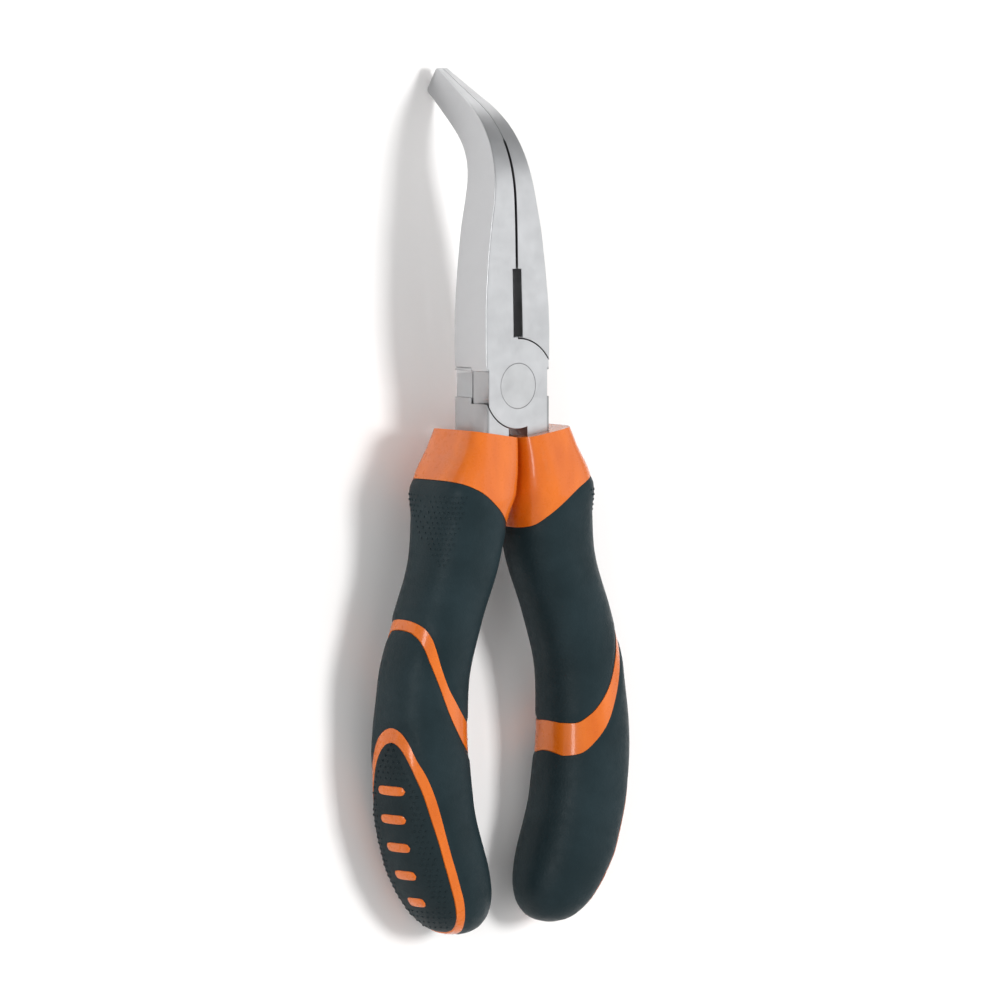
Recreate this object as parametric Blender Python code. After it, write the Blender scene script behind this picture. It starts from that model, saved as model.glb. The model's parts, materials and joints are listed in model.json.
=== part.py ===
"""Bent needle nose pliers: two forged halves on a lap joint, with two-shot moulded handles.

Design frame of the tool, in millimetres: the pivot is the origin, +X runs to the right
handle, +Y to the nose and +Z out of the front face. One empty at the pivot carries all the
pieces and lays the tool on the bench, where it rests on its bent tip and its handle ends.
"""
from math import acos, atan2, cos, pi, radians, sin, tan

import bmesh
import bpy
import numpy as np
from mathutils import Vector

MM = 0.001            # metres in a millimetre
GAP = 0.3             # clearance between neighbouring pieces

# Joint
JOINT_THICKNESS = 9.2
JOINT_HALF_WIDTH = 7.4
FRONT_BOSS_RADIUS = 8.6        # the front boss's arc under the right jaw
REAR_BOSS_RADIUS = 8.0         # the rear boss's arc under the left jaw
LOWER_RADIUS = 7.85            # both bosses' arcs over the opposite tang
RELIEF_DEPTH = 0.4             # the joint's sides are set back between the shoulders
RELIEF_Y = (-2.1, 2.8)
TANG_ROOT = (2.2, -10.5)       # inner side and lower end of the square top of a tang
RIVET_HEAD_RADIUS = 4.15
RIVET_HEAD_DEPTH = 1.3
RIVET_SHANK_RADIUS = 2.5
ROUND_SIDES = 48

# Nose: it falls slightly from FALL_START, curves through BEND_ANGLE over BEND_LENGTH, then runs straight
JAW_ROOT_Y = 9.5               # the boss plates reach this far up into the nose
JAW_GAP = 0.5
FALL_START = 10.0
FALL = radians(1.0)
BEND_START = 32.0
BEND_LENGTH = 22.0
BEND_ANGLE = radians(56.0)
NOSE_END = 64.7
# distance along the nose from the pivot, half of the nose's width, half of its thickness
NOSE = ((2.8, 7.4, 4.6), (5.0, 7.6, 4.6), (10.0, 7.65, 4.6), (13.0, 7.6, 4.57), (21.0, 7.0, 4.45),
        (28.5, 6.05, 4.4), (34.5, 4.95, 4.25), (40.5, 4.0, 3.95), (45.5, 3.35, 3.65), (50.5, 2.75, 3.35),
        (56.0, 2.05, 3.05), (62.0, 1.45, 2.75), (64.0, 1.3, 2.65), (64.7, 0.95, 2.2))
EDGE_CHAMFER = 0.3
SLOT_HALF_WIDTH = 1.3
SLOT_Y = (8.95, 21.4)

# Handle envelope: height, centre line, half width, half depth, squareness of the section
HANDLE = ((-8.6, 6.3, 6.05, 7.0, 4.6), (-12.0, 7.15, 6.8, 7.8, 4.0), (-16.7, 8.7, 8.3, 8.5, 3.4),
          (-19.5, 9.35, 8.75, 8.7, 3.1), (-24.0, 10.1, 8.5, 8.1, 2.6), (-32.0, 11.6, 8.45, 7.5, 2.3),
          (-43.0, 15.7, 8.45, 7.5, 2.2), (-54.0, 18.8, 8.5, 7.55, 2.2), (-65.0, 19.5, 8.95, 8.1, 2.2),
          (-76.0, 18.8, 9.3, 8.5, 2.2), (-87.0, 15.9, 9.6, 8.6, 2.2), (-92.0, 14.1, 9.0, 8.0, 2.2),
          (-96.0, 12.8, 7.6, 6.8, 2.2), (-99.0, 12.0, 5.3, 4.8, 2.1), (-100.1, 11.8, 3.4, 3.1, 2.0),
          (-100.6, 11.7, 1.4, 1.3, 2.0))
BENCH_CONTACT = (-87.0, -8.6)  # where the handles touch the bench: height, depth
COLLAR_TILT = 0.16    # rise of the collar's top edge per millimetre outwards
SOFT_THICKNESS = 2.2
SOFT_TOP = -14.0      # the core is thinner from here down, to leave room for the soft grips
SECTION_POINTS = 20
# Steel tang inside the handle: height, centre line, half width, half thickness
TANG = ((-9.5, 5.0, 2.3, 4.2), (-12.0, 5.8, 2.7, 4.1), (-20.0, 8.8, 3.2, 3.6), (-32.0, 11.6, 3.2, 2.8),
        (-43.0, 15.7, 3.1, 2.6), (-54.0, 18.8, 3.0, 2.4), (-65.0, 19.4, 2.9, 2.2),
        (-76.0, 18.6, 2.6, 2.0), (-84.0, 16.6, 2.2, 1.6))

# Edges of the moulded pieces, seen from the front: distance out from the middle, height
COLLAR_EDGE = ((24.0, -15.6), (17.3, -16.6), (12.0, -18.7), (8.5, -21.2), (5.2, -24.0), (3.0, -26.0),
               (0.0, -27.0), (-4.0, -27.2))
STRIPE_TOP = {
    "left": ((32.0, -41.0), (24.5, -41.3), (22.4, -43.0), (21.4, -45.3), (20.9, -47.6), (20.3, -50.2),
             (18.6, -54.3), (17.5, -56.0), (16.5, -57.4), (15.4, -58.8), (14.0, -60.2), (12.0, -61.4),
             (7.0, -62.6)),
    "right": ((32.0, -45.6), (24.1, -46.0), (23.0, -47.8), (22.0, -51.1), (20.3, -55.7), (18.5, -58.5),
              (15.4, -61.6), (12.8, -63.1), (11.2, -63.1), (10.3, -62.2), (9.0, -60.8), (6.0, -60.0))}
STRIPE_FOOT = {
    "left": ((32.0, -42.9), (24.3, -43.5), (23.2, -45.4), (22.4, -49.0), (20.1, -55.4), (18.7, -58.8),
             (17.0, -61.9), (15.6, -63.9), (14.4, -65.2), (12.5, -66.6), (9.0, -67.6), (5.0, -68.0)),
    "right": ((32.0, -46.9), (24.5, -47.5), (23.9, -49.4), (23.4, -53.0), (22.4, -56.5), (21.2, -59.4),
              (19.4, -63.0), (16.7, -66.2), (13.4, -68.8), (11.3, -69.2), (10.3, -68.0), (9.0, -66.6),
              (6.0, -65.8))}
PANEL_EDGE = ((33.0, -56.5), (30.0, -58.3), (28.5, -60.2), (27.6, -63.6), (26.9, -66.5), (25.5, -69.8),
              (24.2, -73.4), (23.2, -76.7), (21.6, -82.0), (19.5, -88.0), (16.9, -93.5), (14.8, -98.0),
              (11.5, -103.5))
PANEL_INNER = ((34.0, -57.1), (31.0, -58.5), (29.5, -59.8), (28.8, -61.3), (28.35, -63.8), (27.2, -69.0),
               (25.9, -73.4), (24.8, -77.4), (23.1, -82.4), (21.2, -88.0), (18.6, -93.5), (16.5, -97.5),
               (13.3, -103.0))
PANEL_TURN = radians(13.0)     # the end panel is turned this far from the outer side
TURNED = {"left": 1.0, "right": -1.6}   # towards the front on the left handle, the back on the right

STEEL = ("satin_steel", (0.62, 0.63, 0.64), 0.32, 1.0)
ORANGE = ("orange_plastic", (0.80, 0.21, 0.03), 0.30, 0.0)
RUBBER = ("dark_rubber", (0.030, 0.045, 0.052), 0.62, 0.0)
PANEL = ("panel_rubber", (0.024, 0.036, 0.042), 0.72, 0.0)


def material(kind):
    """Return the Principled material of one kind, made once."""
    name, color, roughness, metallic = kind
    found = bpy.data.materials.get(name)
    if found:
        return found
    made = bpy.data.materials.new(name)
    made.use_nodes = True
    shader = made.node_tree.nodes["Principled BSDF"]
    shader.inputs["Base Color"].default_value = (*color, 1.0)
    shader.inputs["Roughness"].default_value = roughness
    shader.inputs["Metallic"].default_value = metallic
    return made


def place(name, bm, kind=None):
    """Make an object from a bmesh in millimetres: a part where it has a material, else a cutter."""
    bmesh.ops.recalc_face_normals(bm, faces=bm.faces)
    bmesh.ops.scale(bm, vec=Vector((MM, MM, MM)), verts=bm.verts)
    mesh = bpy.data.meshes.new(name)
    bm.to_mesh(mesh)
    bm.free()
    made = bpy.data.objects.new(name, mesh)
    made.parent = pivot
    if kind:
        parts.objects.link(made)
        mesh.materials.append(material(kind))
        mesh.shade_smooth()
        mesh.set_sharp_from_angle(angle=radians(32.0))
    else:
        cutters.objects.link(made)
        made.hide_render = True
        made.display_type = 'WIRE'
    return made


def skin(bm, rings):
    """Skin closed rings of the same number of points into one capped solid."""
    loops = [[bm.verts.new(point) for point in ring] for ring in rings]
    count = len(loops[0])
    for low, high in zip(loops, loops[1:]):
        for i in range(count):
            j = (i + 1) % count
            bm.faces.new((low[i], low[j], high[j], high[i]))
    bm.faces.new(loops[0])
    bm.faces.new(loops[-1])


def extrude_outline(bm, outline, low, high):
    """Add the solid that an XY outline sweeps from height low to height high."""
    skin(bm, [[(x, y, z) for x, y in outline] for z in (low, high)])


def boolean(target, tool, operation):
    """Cut, join or trim the target with the tool."""
    cut = target.modifiers.new(f"{operation.lower()} {tool.name}", 'BOOLEAN')
    cut.operation = operation
    cut.object = tool


def smooth_curve(knots):
    """Return a function through (position, value, ...) knots that never overshoots between them."""
    table = np.array(sorted(knots))
    at, values = table[:, 0], table[:, 1:]
    slopes = np.diff(values, axis=0) / np.diff(at)[:, None]
    both = slopes[:-1] * slopes[1:]
    total = np.where(both > 0, slopes[:-1] + slopes[1:], 1.0)
    tangents = np.vstack([slopes[:1], np.where(both > 0, 2 * both / total, 0.0), slopes[-1:]])

    def value(position):
        i = int(np.clip(np.searchsorted(at, position) - 1, 0, len(at) - 2))
        step = at[i + 1] - at[i]
        u = (position - at[i]) / step
        return ((1 + 2 * u) * (1 - u) ** 2 * values[i] + u * (1 - u) ** 2 * step * tangents[i]
                + u * u * (3 - 2 * u) * values[i + 1] + u * u * (u - 1) * step * tangents[i + 1])
    return value


def nose_frame(distance):
    """Return the point (y, z) and the heading of the nose's middle line at a distance along it."""
    y, z, heading = min(distance, FALL_START), 0.0, 0.0
    steps = 60
    length = max(0.0, distance - FALL_START) / steps
    for step in range(steps):
        u = min(max((FALL_START + (step + 0.5) * length - BEND_START) / BEND_LENGTH, 0.0), 1.0)
        heading = FALL + (BEND_ANGLE - FALL) * u * u * (3 - 2 * u)
        y += length * cos(heading)
        z -= length * sin(heading)
    return y, z, heading if distance > FALL_START else 0.0


def jaw_rings(side):
    """Return the sections of one jaw, from its shoulder to the tip."""
    sizes = smooth_curve(NOSE)
    straight = [row[0] for row in NOSE if row[0] <= BEND_START]
    bent = list(np.arange(BEND_START, NOSE_END - 2.0, 2.0)) + [NOSE_END - 0.7, NOSE_END]
    rings = []
    for distance in straight + bent:
        half_width, half_depth = sizes(distance)
        y, z, heading = nose_frame(distance)
        chamfer = min(EDGE_CHAMFER, 0.35 * half_width)
        inner, outer = JAW_GAP / 2, half_width
        profile = ((inner, half_depth), (outer - chamfer, half_depth), (outer, half_depth - chamfer),
                   (outer, chamfer - half_depth), (outer - chamfer, -half_depth), (inner, -half_depth))
        rings.append([(side * x, y + h * sin(heading), z + h * cos(heading)) for x, h in profile])
    return rings


def section(centre, height, half_width, half_depth, squareness, tilt, side):
    """Return one closed superellipse section of a handle or tang."""
    ring = []
    for i in range(SECTION_POINTS):
        angle = 2 * pi * (i + 0.5) / SECTION_POINTS
        across = np.sign(cos(angle)) * abs(cos(angle)) ** (2 / squareness) * half_width
        depth = np.sign(sin(angle)) * abs(sin(angle)) ** (2 / squareness) * half_depth
        ring.append((side * (centre + across), height + tilt * across, depth))
    return ring


def handle_rings(side, inset=0.0, top=HANDLE[0][0]):
    """Return the sections of the handle's envelope, set in all round by a distance."""
    sizes = smooth_curve(HANDLE)
    heights = [top] + [row[0] for row in HANDLE if row[0] < top - 0.5]
    rings = []
    for height in heights:
        centre, half_width, half_depth, squareness = sizes(height)
        if half_depth < inset + 1.0:
            break
        tilt = COLLAR_TILT * max(0.0, (height + 24.0) / 16.0)
        end_lift = inset if height < -90.0 else 0.0
        rings.append(section(centre, height + end_lift, half_width - inset, half_depth - inset,
                             squareness, tilt, side))
    return rings


def tang_rings(side, grow=0.0):
    """Return the sections of the steel tang, grown all round by a clearance."""
    rings = [section(centre, height, half_width + grow, half_depth + grow, 6.0, 0.0, side)
             for height, centre, half_width, half_depth in TANG]
    if grow:
        end = rings[-1]
        rings.append([(x, y - grow, z) for x, y, z in end])
    return rings


def edge_line(knots, count=12):
    """Return evenly spread points of a smooth edge given by (out, height) knots."""
    curve = smooth_curve(knots)
    first, last = knots[0][0], knots[-1][0]
    return [(out, float(curve(out)[0])) for out in np.linspace(first, last, count)]


def shifted(line, distance):
    """Move a line sideways by a distance, to the left of its own direction."""
    moved = []
    for i, (x, y) in enumerate(line):
        before, after = line[max(i - 1, 0)], line[min(i + 1, len(line) - 1)]
        direction = Vector((after[0] - before[0], after[1] - before[1])).normalized()
        moved.append((x - direction.y * distance, y + direction.x * distance))
    return moved


def zones(side_name):
    """Return the front outlines of the hard and soft zones of one handle, towards +X."""
    collar = edge_line(COLLAR_EDGE)
    stripe_top = edge_line(STRIPE_TOP[side_name], 24)
    stripe_foot = edge_line(STRIPE_FOOT[side_name], 24)
    panel = edge_line(PANEL_EDGE, 16)
    rim = edge_line(PANEL_INNER, 16)
    half = GAP / 2
    far_out, top, foot = 40.0, 5.0, -110.0
    return {
        "collar": shifted(collar, -half) + [(-4.0, top), (24.0, top)],
        "stripe": shifted(stripe_top, half) + shifted(stripe_foot, -half)[::-1],
        "rim": shifted(panel, half) + shifted(rim, -half)[::-1],
        "upper": shifted(collar, half) + shifted(stripe_top, -half)[::-1],
        "lower": shifted(stripe_foot, half) + [(-4.0, foot), (far_out, foot)],
        "panel": shifted(rim, half) + [(far_out, foot), (far_out, -60.0)],
        "whole_panel": shifted(panel, -half) + [(far_out, foot), (far_out, -58.0)],
    }


def zone_cutter(name, side, outlines, slant=0.0):
    """Make one cutter that sweeps the outlines through the handle, at a slant from the front's normal."""
    bm = bmesh.new()
    for outline in outlines:
        skin(bm, [[(side * (x - slant * z), y, z) for x, y in outline] for z in (-20.0, 20.0)])
    return place(name, bm)


def loft(name, rings, kind=None):
    """Make a part or cutter skinned over its sections."""
    bm = bmesh.new()
    skin(bm, rings)
    return place(name, bm, kind)


def cylinder(name, stack, kind=None):
    """Make a turned piece on the pivot's axis from (radius, low, high) slices joined end to end."""
    outline = []
    for radius, low, high in stack:
        outline += [(radius, low), (radius, high)]
    rings = [[(r * cos(2 * pi * i / ROUND_SIDES), r * sin(2 * pi * i / ROUND_SIDES), z)
              for i in range(ROUND_SIDES)] for r, z in outline]
    return loft(name, rings, kind)


def arc(radius, start, end, steps=12):
    """Return the points of an arc about the pivot between two angles."""
    return [(radius * cos(start + (end - start) * i / steps), radius * sin(start + (end - start) * i / steps))
            for i in range(steps + 1)]


def joint_outline(jaw_side, upper_radius):
    """Return the outline of one layer of the joint: boss, jaw root and tang root in one piece."""
    wide = JOINT_HALF_WIDTH
    set_back = wide - RELIEF_DEPTH
    low, high = RELIEF_Y
    root_x, root_y = TANG_ROOT
    outline = [(root_x, root_y), (wide, root_y), (wide, low), (set_back, low), (set_back, high), (wide, high)]
    outline += arc(upper_radius, acos(wide / upper_radius), pi / 2)
    outline += [(0.0, JAW_ROOT_Y), (-set_back, JAW_ROOT_Y)]
    outline += arc(LOWER_RADIUS, pi + acos(set_back / LOWER_RADIUS), 2 * pi - acos(root_x / LOWER_RADIUS))
    return [(-jaw_side * x, y) for x, y in outline]


def plate(name, outline, low, high):
    """Make a flat cutter or blank from an outline seen from the front."""
    bm = bmesh.new()
    extrude_outline(bm, outline, *sorted((low, high)))
    return place(name, bm)


def forged_half(name, jaw_side, layer, own_radius, other_radius):
    """Make one forging: a jaw, a boss in one layer of the lap joint and the opposite tang."""
    face = JOINT_THICKNESS / 2
    far = face + 2.0
    seam = layer * GAP / 2
    half = loft(name, jaw_rings(jaw_side), STEEL)
    low = RELIEF_Y[0]
    root_x, root_y = TANG_ROOT
    root = [(-jaw_side * x, y) for x, y in ((root_x, root_y), (JOINT_HALF_WIDTH, root_y),
                                             (JOINT_HALF_WIDTH, low), (root_x, low))]
    boolean(half, plate(name + "_root", root, -face, face), 'UNION')
    for label, radius, way in (("jaw", other_radius, 1), ("tang", LOWER_RADIUS, -1)):
        reach = [(x, way * y) for x, y in arc(radius + GAP, 0.0, pi, 36)]
        swing = plate(f"{name}_{label}_swing_room", reach, seam, -layer * far)
        boolean(half, swing, 'DIFFERENCE')
    boss = plate(name + "_boss", joint_outline(jaw_side, own_radius), seam, layer * face)
    boolean(half, boss, 'UNION')
    boolean(half, loft(name + "_tang", tang_rings(-jaw_side)), 'UNION')
    bore = RIVET_SHANK_RADIUS + GAP
    recess = RIVET_HEAD_RADIUS + GAP
    floor = face - RIVET_HEAD_DEPTH - GAP
    hole = cylinder(name + "_hole", [(recess, -far, -floor), (bore, -floor, floor), (recess, floor, far)])
    boolean(half, hole, 'DIFFERENCE')
    bm = bmesh.new()
    wide, narrow = SLOT_HALF_WIDTH, 0.4
    hourglass = ((narrow, 0.0), (wide, 6.0), (-wide, 6.0), (-narrow, 0.0), (-wide, -6.0), (wide, -6.0))
    skin(bm, [[(x, y, z) for x, z in hourglass] for y in SLOT_Y])
    boolean(half, place(name + "_slot", bm), 'DIFFERENCE')
    return half


def handle(side_name, side):
    """Make the hard core, the two soft grips and the end panel of one handle."""
    outlines = zones(side_name)
    slant = TURNED[side_name] * tan(PANEL_TURN)
    core = loft(side_name + "_core", handle_rings(side), ORANGE)
    hard = zone_cutter(side_name + "_hard_zones", side, [outlines["collar"], outlines["stripe"]])
    boolean(core, hard, 'INTERSECT')
    inner = loft(side_name + "_inner", handle_rings(side, SOFT_THICKNESS, top=SOFT_TOP))
    boolean(core, inner, 'UNION')
    rim = loft(side_name + "_rim", handle_rings(side))
    boolean(rim, zone_cutter(side_name + "_rim_zone", side, [outlines["rim"]], slant), 'INTERSECT')
    boolean(core, rim, 'UNION')
    boolean(core, loft(side_name + "_pocket", tang_rings(side, GAP)), 'DIFFERENCE')
    root_x, root_y = TANG_ROOT
    inner_x, outer_x, foot = root_x - GAP, JOINT_HALF_WIDTH + GAP, root_y - GAP
    room = [(side * x, y) for x, y in ((inner_x, foot), (outer_x, foot), (outer_x, 0.0), (inner_x, 0.0))]
    depth = JOINT_THICKNESS / 2 + GAP
    boolean(core, plate(side_name + "_root_room", room, -depth, depth), 'DIFFERENCE')
    hollow = loft(side_name + "_hollow", handle_rings(side, SOFT_THICKNESS - GAP, top=SOFT_TOP))
    for zone, node, kind, lean in (("upper", "upper_grip", RUBBER, 0.0), ("lower", "lower_grip", RUBBER, 0.0),
                                   ("panel", "end_panel", PANEL, slant)):
        soft = loft(f"{side_name}_{node}", handle_rings(side), kind)
        cutter = zone_cutter(f"{side_name}_{zone}_zone", side, [outlines[zone]], lean)
        boolean(soft, cutter, 'INTERSECT')
        if zone == "lower":
            window = zone_cutter(side_name + "_panel_window", side, [outlines["whole_panel"]], slant)
            boolean(soft, window, 'DIFFERENCE')
        boolean(soft, hollow, 'DIFFERENCE')


def lay_on_bench():
    """Pitch the tool until tip and handle ends both touch height zero, and centre its box."""
    lowest_y, lowest_z = nose_frame(NOSE_END)[:2]
    tip_depth = NOSE[-1][2]
    tip_low = lowest_z - tip_depth * cos(BEND_ANGLE)
    tip_y = lowest_y - tip_depth * sin(BEND_ANGLE)
    end_y, end_low = BENCH_CONTACT
    pivot.rotation_euler.x = atan2(end_low - tip_low, tip_y - end_y)
    bpy.context.view_layer.update()
    depsgraph = bpy.context.evaluated_depsgraph_get()
    corners = []
    for part in parts.objects:
        seen = part.evaluated_get(depsgraph)
        corners += [seen.matrix_world @ vertex.co for vertex in seen.data.vertices]
    low = Vector(min(corner[axis] for corner in corners) for axis in range(3))
    high = Vector(max(corner[axis] for corner in corners) for axis in range(3))
    middle = (low + high) / 2
    pivot.location = (-middle.x, -middle.y, -low.z)


for old in list(bpy.data.objects):
    bpy.data.objects.remove(old)
parts = bpy.data.collections.new("bent_needle_nose_pliers")
cutters = bpy.data.collections.new("cutters")
for collection in (parts, cutters):
    bpy.context.scene.collection.children.link(collection)
pivot = bpy.data.objects.new("pivot_axis", None)
bpy.context.scene.collection.objects.link(pivot)

forged_half("front_half", -1, 1, FRONT_BOSS_RADIUS, REAR_BOSS_RADIUS)
forged_half("rear_half", 1, -1, REAR_BOSS_RADIUS, FRONT_BOSS_RADIUS)
FACE = JOINT_THICKNESS / 2
cylinder("pivot_rivet", [(RIVET_HEAD_RADIUS, -FACE, RIVET_HEAD_DEPTH - FACE),
                         (RIVET_SHANK_RADIUS, RIVET_HEAD_DEPTH - FACE, FACE - RIVET_HEAD_DEPTH),
                         (RIVET_HEAD_RADIUS, FACE - RIVET_HEAD_DEPTH, FACE)], STEEL)
handle("left", -1)
handle("right", 1)
lay_on_bench()
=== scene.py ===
"""Looks of the bent needle nose pliers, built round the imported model.

All shapes are worked out in the tool's own frame, in millimetres: the pivot is the origin,
+X runs to the right handle, +Y to the nose and +Z out of the front face. One matrix then
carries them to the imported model's frame, in metres.
"""
import json
from math import cos, pi, radians, sin

import bmesh
import bpy
import numpy as np
from mathutils import Matrix, Vector


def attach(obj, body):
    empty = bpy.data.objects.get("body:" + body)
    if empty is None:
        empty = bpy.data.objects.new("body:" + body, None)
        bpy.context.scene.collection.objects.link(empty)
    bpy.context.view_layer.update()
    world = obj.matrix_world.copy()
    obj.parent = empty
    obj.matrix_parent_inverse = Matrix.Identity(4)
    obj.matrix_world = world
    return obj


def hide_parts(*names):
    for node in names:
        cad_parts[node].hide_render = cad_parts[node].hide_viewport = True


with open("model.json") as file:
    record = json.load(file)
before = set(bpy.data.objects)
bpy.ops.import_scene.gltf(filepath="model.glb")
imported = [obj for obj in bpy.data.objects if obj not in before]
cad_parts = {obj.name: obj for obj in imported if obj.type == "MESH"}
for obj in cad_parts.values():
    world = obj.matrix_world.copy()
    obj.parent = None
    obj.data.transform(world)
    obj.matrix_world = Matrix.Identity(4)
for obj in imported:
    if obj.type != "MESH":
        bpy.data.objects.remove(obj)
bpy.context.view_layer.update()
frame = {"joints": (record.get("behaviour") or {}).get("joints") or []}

MM = 0.001

# How finely the shapes are cut up
ROUND_SIDES = 144              # round the pivot
ARC_STEPS = 40
SWING_STEPS = 60
CORNER_POINTS = 5
NOSE_STEPS = 60                # steps that add up the nose's curve
NOSE_RING_STEP = 0.8
TIP_STEPS = 9
RING_STEP = 0.7                # between the sections of a handle
SECTION_POINTS = 88            # round a handle
DOME_STEPS = 14
TANG_RINGS = 24
TANG_POINTS = 48
EDGE_POINTS = 60               # along the edge of a moulded piece

# Joint
JOINT_THICKNESS = 9.2
JOINT_HALF_WIDTH = 7.4
FRONT_BOSS_RADIUS = 8.6        # the front boss's arc under the right jaw
REAR_BOSS_RADIUS = 8.0         # the rear boss's arc under the left jaw
LOWER_RADIUS = 7.85            # both bosses' arcs over the opposite tang
RELIEF_DEPTH = 0.4             # the joint's sides are set back between the shoulders
RELIEF_Y = (-2.1, 2.8)
JAW_ROOT_Y = 9.5               # a boss runs up into its own jaw as far as this
TANG_ROOT = (2.2, -10.5)       # inner side and lower end of the square top of a tang
SWING_GAP = 0.18               # between a boss's arc and the half that swings round it
LAYER_GAP = 0.12               # between the two layers of the joint
RIVET_HEAD_RADIUS = 4.15
RIVET_HEAD_DEPTH = 1.3
RIVET_SHANK_RADIUS = 2.5
RIVET_RIM = (0.08, 0.02, 0.06)  # the head's rim is drawn in this far, and slopes between these depths
RIVET_GAP = 0.015
OVERSHOOT = 2.0                # cutters reach this far past what they cut
STEEL_EDGE = 0.11              # rounding of the forgings' edges
STEEL_EDGE_SEGMENTS = 2
SHARP = radians(38.0)          # edges sharper than this are rounded
STEEL_CREASE = radians(30.0)   # steel shades smoothly across edges up to this angle
CREASE = radians(35.0)         # and the other materials up to this one

# Nose: it falls slightly from FALL_START, curves through BEND_ANGLE over BEND_LENGTH, then runs straight
JAW_GAP = 0.5                  # between the jaws, up to the gripping faces
GRIP_START = 43.2              # from here to the tip the gripping faces meet
GRIP_STEP = 0.5                # length of the step from one gap to the other
GRIP_GAP = 0.1
FALL_START = 10.0
FALL = radians(1.0)
BEND_START = 32.0
BEND_LENGTH = 22.0
BEND_ANGLE = radians(56.0)
NOSE_END = 64.7
TIP_LENGTH = 2.2               # the nose narrows quickly over this length, so its sections lie closer
# distance along the nose from the pivot, half of the nose's width, half of its thickness
NOSE = ((2.8, 7.4, 4.6), (5.0, 7.6, 4.6), (10.0, 7.65, 4.6), (13.0, 7.6, 4.57),
        (21.0, 7.0, 4.45), (28.5, 6.05, 4.4), (34.5, 4.95, 4.25), (40.5, 4.0, 3.95),
        (45.5, 3.35, 3.65), (50.5, 2.75, 3.35), (56.0, 2.05, 3.05), (62.0, 1.45, 2.75),
        (64.0, 1.3, 2.65), (64.7, 0.95, 2.2))
EDGE_ROUND = 0.3               # radius of the nose's long edges
EDGE_SHARE = 0.4               # and never more than this part of its half width
SLOT_HALF_WIDTH = 1.3          # of the cutter at SLOT_REACH from the middle of the thickness
SLOT_WAIST = 0.4               # and in the middle of the thickness
SLOT_REACH = 6.0
SLOT_Y = (8.95, 21.4)
TOOTH_PITCH = 0.9
TOOTH_DEPTH = 0.35
TOOTH_CREST = 0.02             # skimmed off between the grooves
TEETH_MARGIN = 0.8             # plain length at each end of the gripping faces
TEETH_SIDE = 0.5               # plain strip at the front and back of the gripping faces

# Handle envelope: height, centre line, half width, half depth, squareness of the section
HANDLE = ((-8.6, 6.3, 6.05, 7.0, 4.6), (-12.0, 7.15, 6.8, 7.8, 4.0), (-16.7, 8.7, 8.3, 8.5, 3.4),
          (-19.5, 9.35, 8.75, 8.7, 3.1), (-24.0, 10.1, 8.5, 8.1, 2.6), (-32.0, 11.6, 8.45, 7.5, 2.3),
          (-43.0, 15.7, 8.45, 7.5, 2.2), (-54.0, 18.8, 8.5, 7.55, 2.2), (-65.0, 19.5, 8.95, 8.1, 2.2),
          (-76.0, 18.8, 9.3, 8.5, 2.2), (-87.0, 15.9, 9.6, 8.6, 2.2), (-92.0, 14.1, 9.0, 8.0, 2.2),
          (-96.0, 12.8, 7.6, 6.8, 2.2), (-99.0, 12.0, 5.3, 4.8, 2.1), (-100.1, 11.8, 3.4, 3.1, 2.0),
          (-100.6, 11.7, 1.4, 1.3, 2.0))
HANDLE_END = HANDLE[-1][0]
DOME_HEIGHT = 8.6              # of the rounded end, where the sections lie closer
LEAST_HALF_DEPTH = 0.8         # an envelope that is set in ends where it gets thinner than this
COLLAR_TILT = 0.16             # rise of the collar's top towards the outer side
TILT_FOOT = -24.0              # the sections are level up to here
TILT_HEIGHT = 16.0             # and reach the full tilt this far above
SOFT_THICKNESS = 2.2
SOFT_TOP = -14.0               # the core that carries the soft skins starts here
SKIN_GAP = 0.06                # between that core and the skins
HARD_INSET = 0.18              # the hard plastic lies this much under the handle's envelope
LIP_DEPTH = 0.3                # roll of the soft skin down to its edges
LIP_REACH = 0.7
ZONE_GAP = 0.08                # between neighbouring moulded pieces
PROBE = (0.01, 0.05)           # steps in angle and height that find the skin's normal
# Height, centre line, half width, half depth of the steel tang inside a handle
TANG = ((-9.5, 5.0, 2.3, 4.2), (-12.0, 5.8, 2.7, 4.1), (-20.0, 8.8, 3.2, 3.6),
        (-32.0, 11.6, 3.2, 2.8), (-43.0, 15.7, 3.1, 2.6))
TANG_SQUARENESS = 7.0
POCKET_ROOM = 0.04             # the core's pocket is this part wider and deeper than the tang
ROOT_ROOM = 0.1                # gap round the square top of the tang

# Pips: small studs on the thumb rest and the end panel
PIP_RADIUS = 0.27
PIP_TOP = 0.6                  # the top's radius, as a part of the foot's
PIP_HEIGHT = 0.17
PIP_SINK = 0.05                # the foot lies this far under the skin
PIP_SIDES = 8
PANEL_PIPS_TOP = -64.0
PANEL_PIP_ROWS = 34
PANEL_PIP_COLUMNS = 9          # either way from the middle
PANEL_PIP_STEP = (1.25, 1.05)  # round the skin and down the handle
PANEL_PIP_MARGIN = 1.1
THUMB_PIPS_TOP = -19.6
THUMB_PIP_ROWS = 14
THUMB_PIP_COLUMNS = 12         # either way from the middle
THUMB_PIP_STEP = (1.15, 0.95)
THUMB_LOW = (-40.0, 72.0)      # angle of the lower edge in the first row, and the change to the last row
THUMB_HIGH = (62.0, -16.0)     # the same for the upper edge
THUMB_CURVE = 1.3              # how late the lower edge turns in

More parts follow.
